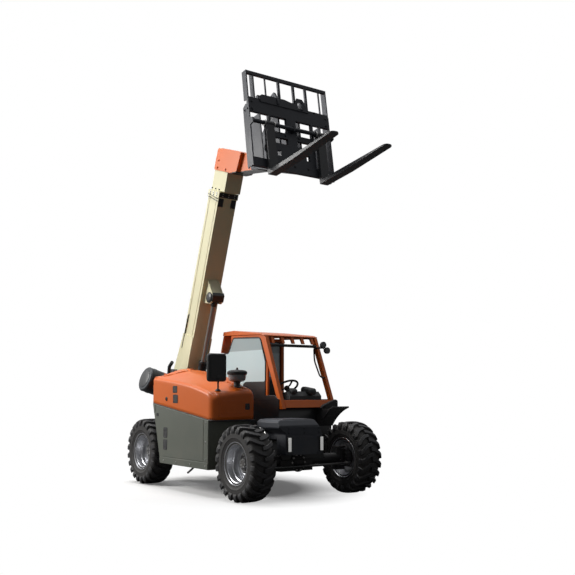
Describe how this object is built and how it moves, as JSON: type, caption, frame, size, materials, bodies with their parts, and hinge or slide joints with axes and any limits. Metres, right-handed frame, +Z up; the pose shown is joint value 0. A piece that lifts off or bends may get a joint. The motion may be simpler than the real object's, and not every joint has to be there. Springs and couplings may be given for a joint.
{
  "type": "telehandler",
  "caption": "Compact four-wheel telehandler with a telescopic boom beside an open cab, a pallet fork carriage, four-wheel steering and a side-mounted engine bay.",
  "frame": {"origin": "on the ground, below the middle of the whole machine's box with the boom raised", "axes": "+X forward, +Y to the machine's left, +Z up"},
  "size_m": [4.0444, 1.81, 4.9565],
  "materials": {
    "orange_paint": "satin gloss",
    "cream_paint": "satin",
    "grey_paint": "satin",
    "black_paint": "semi-gloss",
    "charcoal_paint": "satin",
    "silver_paint": "satin",
    "tyre_rubber": "matte",
    "clear_glass": "clear",
    "black_plastic": "grained",
    "grey_plastic": "grained",
    "seat_vinyl": "stitched vinyl",
    "chrome_rod": "polished",
    "cast_iron": "rough cast",
    "lamp_lens": "moulded lens",
    "dark_metal": "heat-resistant matte"
  },
  "bodies": {
    "chassis": {"chassis_frame": "black_paint", "boom_tower": "black_paint", "front_nose": "charcoal_paint", "counterweight": "black_paint", "engine_block": "cast_iron", "engine_cradle": "black_paint", "fuel_tank": "black_plastic", "front_axle": "cast_iron", "rear_axle": "cast_iron", "prop_shaft": "dark_metal", "side_panel": "grey_paint", "bay_wall": "grey_paint", "hood_hinge": "black_paint", "muffler": "dark_metal", "cab_right_frame": "orange_paint", "cab_left_frame": "orange_paint", "cab_crossbars": "orange_paint", "cab_roof": "orange_paint", "cab_tub": "black_paint", "cab_walls": "black_paint", "cab_windows": "clear_glass", "seat_pedestal": "black_plastic", "seat": "seat_vinyl", "dashboard": "grey_plastic", "steering_wheel": "black_plastic", "left_fender": "black_paint", "work_lights": "black_plastic", "front_lamps": "lamp_lens"},
    "hood": {"hood": "orange_paint", "mirror": "black_plastic", "air_precleaner": "black_plastic"},
    "boom": {"outer_boom": "cream_paint"},
    "telescope": {"inner_boom": "cream_paint", "boom_head": "orange_paint"},
    "carriage": {"carriage_frame": "charcoal_paint", "quick_coupler": "charcoal_paint", "backrest": "charcoal_paint", "fork_right": "charcoal_paint", "fork_left": "charcoal_paint"},
    "lift_barrel": {"lift_barrel": "black_paint"},
    "lift_rod": {"lift_rod": "chrome_rod"},
    "front_tie_rod": {"front_tie_rod": "cast_iron"},
    "rear_tie_rod": {"rear_tie_rod": "cast_iron"},
    "front_right_knuckle": {"front_right_knuckle": "cast_iron"},
    "front_right_wheel": {"front_right_tyre": "tyre_rubber", "front_right_rim": "silver_paint"},
    "front_left_knuckle": {"front_left_knuckle": "cast_iron"},
    "front_left_wheel": {"front_left_tyre": "tyre_rubber", "front_left_rim": "silver_paint"},
    "rear_right_knuckle": {"rear_right_knuckle": "cast_iron"},
    "rear_right_wheel": {"rear_right_tyre": "tyre_rubber", "rear_right_rim": "silver_paint"},
    "rear_left_knuckle": {"rear_left_knuckle": "cast_iron"},
    "rear_left_wheel": {"rear_left_tyre": "tyre_rubber", "rear_left_rim": "silver_paint"}
  },
  "joints": [
    {"name": "boom_lift", "type": "hinge", "parent": "chassis", "child": "boom", "pos_m": [-1.7822, -0.11, 1.42], "axis": [0, -1, 0], "range_deg": [-70.5, 0]},
    {"name": "boom_extend", "type": "slide", "parent": "boom", "child": "telescope", "axis": [0.3223, 0, 0.9466], "range_m": [0, 1.9]},
    {"name": "carriage_tilt", "type": "hinge", "parent": "telescope", "child": "carriage", "pos_m": [0.17664, -0.11, 4.00431], "axis": [0, 1, 0], "range_deg": [-85, 55]},
    {"name": "lift_barrel_pivot", "type": "hinge", "parent": "chassis", "child": "lift_barrel", "pos_m": [-1.5782, -0.11, 0.717], "axis": [0, -1, 0], "range_deg": [-56.5, 1]},
    {"name": "lift_rod_slide", "type": "slide", "parent": "lift_barrel", "child": "lift_rod", "axis": [0.3253, 0, 0.9456], "range_m": [-0.78, 0.01]},
    {"name": "hood_lift", "type": "hinge", "parent": "chassis", "child": "hood", "pos_m": [-1.2702, -0.53, 1.405], "axis": [0, -1, 0], "range_deg": [0, 50]},
    {"name": "front_right_steer", "type": "hinge", "parent": "chassis", "child": "front_right_knuckle", "pos_m": [0.7678, -0.6, 0.42], "axis": [0, 0, 1], "range_deg": [-30, 30]},
    {"name": "front_left_steer", "type": "hinge", "parent": "chassis", "child": "front_left_knuckle", "pos_m": [0.7678, 0.6, 0.42], "axis": [0, 0, 1], "range_deg": [-30, 30]},
    {"name": "front_tie_rod_slide", "type": "slide", "parent": "chassis", "child": "front_tie_rod", "axis": [0, 1, 0], "range_m": [-0.075, 0.075]},
    {"name": "rear_right_steer", "type": "hinge", "parent": "chassis", "child": "rear_right_knuckle", "pos_m": [-1.5222, -0.6, 0.42], "axis": [0, 0, 1], "range_deg": [-30, 30]},
    {"name": "rear_left_steer", "type": "hinge", "parent": "chassis", "child": "rear_left_knuckle", "pos_m": [-1.5222, 0.6, 0.42], "axis": [0, 0, 1], "range_deg": [-30, 30]},
    {"name": "rear_tie_rod_slide", "type": "slide", "parent": "chassis", "child": "rear_tie_rod", "axis": [0, 1, 0], "range_m": [-0.075, 0.075]},
    {"name": "front_right_spin", "type": "hinge", "parent": "front_right_knuckle", "child": "front_right_wheel", "pos_m": [0.7678, -0.7525, 0.42], "axis": [0, 1, 0], "continuous": true},
    {"name": "front_left_spin", "type": "hinge", "parent": "front_left_knuckle", "child": "front_left_wheel", "pos_m": [0.7678, 0.7525, 0.42], "axis": [0, 1, 0], "continuous": true},
    {"name": "rear_right_spin", "type": "hinge", "parent": "rear_right_knuckle", "child": "rear_right_wheel", "pos_m": [-1.5222, -0.7525, 0.42], "axis": [0, 1, 0], "continuous": true},
    {"name": "rear_left_spin", "type": "hinge", "parent": "rear_left_knuckle", "child": "rear_left_wheel", "pos_m": [-1.5222, 0.7525, 0.42], "axis": [0, 1, 0], "continuous": true}
  ],
  "couplings": [
    {"joint": "lift_barrel_pivot", "follows": "boom_lift", "ratio": 0.7813},
    {"joint": "lift_rod_slide", "follows": "boom_lift", "m_per_rad": 0.6157},
    {"joint": "front_left_steer", "follows": "front_right_steer", "ratio": 1},
    {"joint": "front_tie_rod_slide", "follows": "front_right_steer", "m_per_rad": 0.13},
    {"joint": "rear_left_steer", "follows": "rear_right_steer", "ratio": 1},
    {"joint": "rear_tie_rod_slide", "follows": "rear_right_steer", "m_per_rad": -0.13}
  ]
}
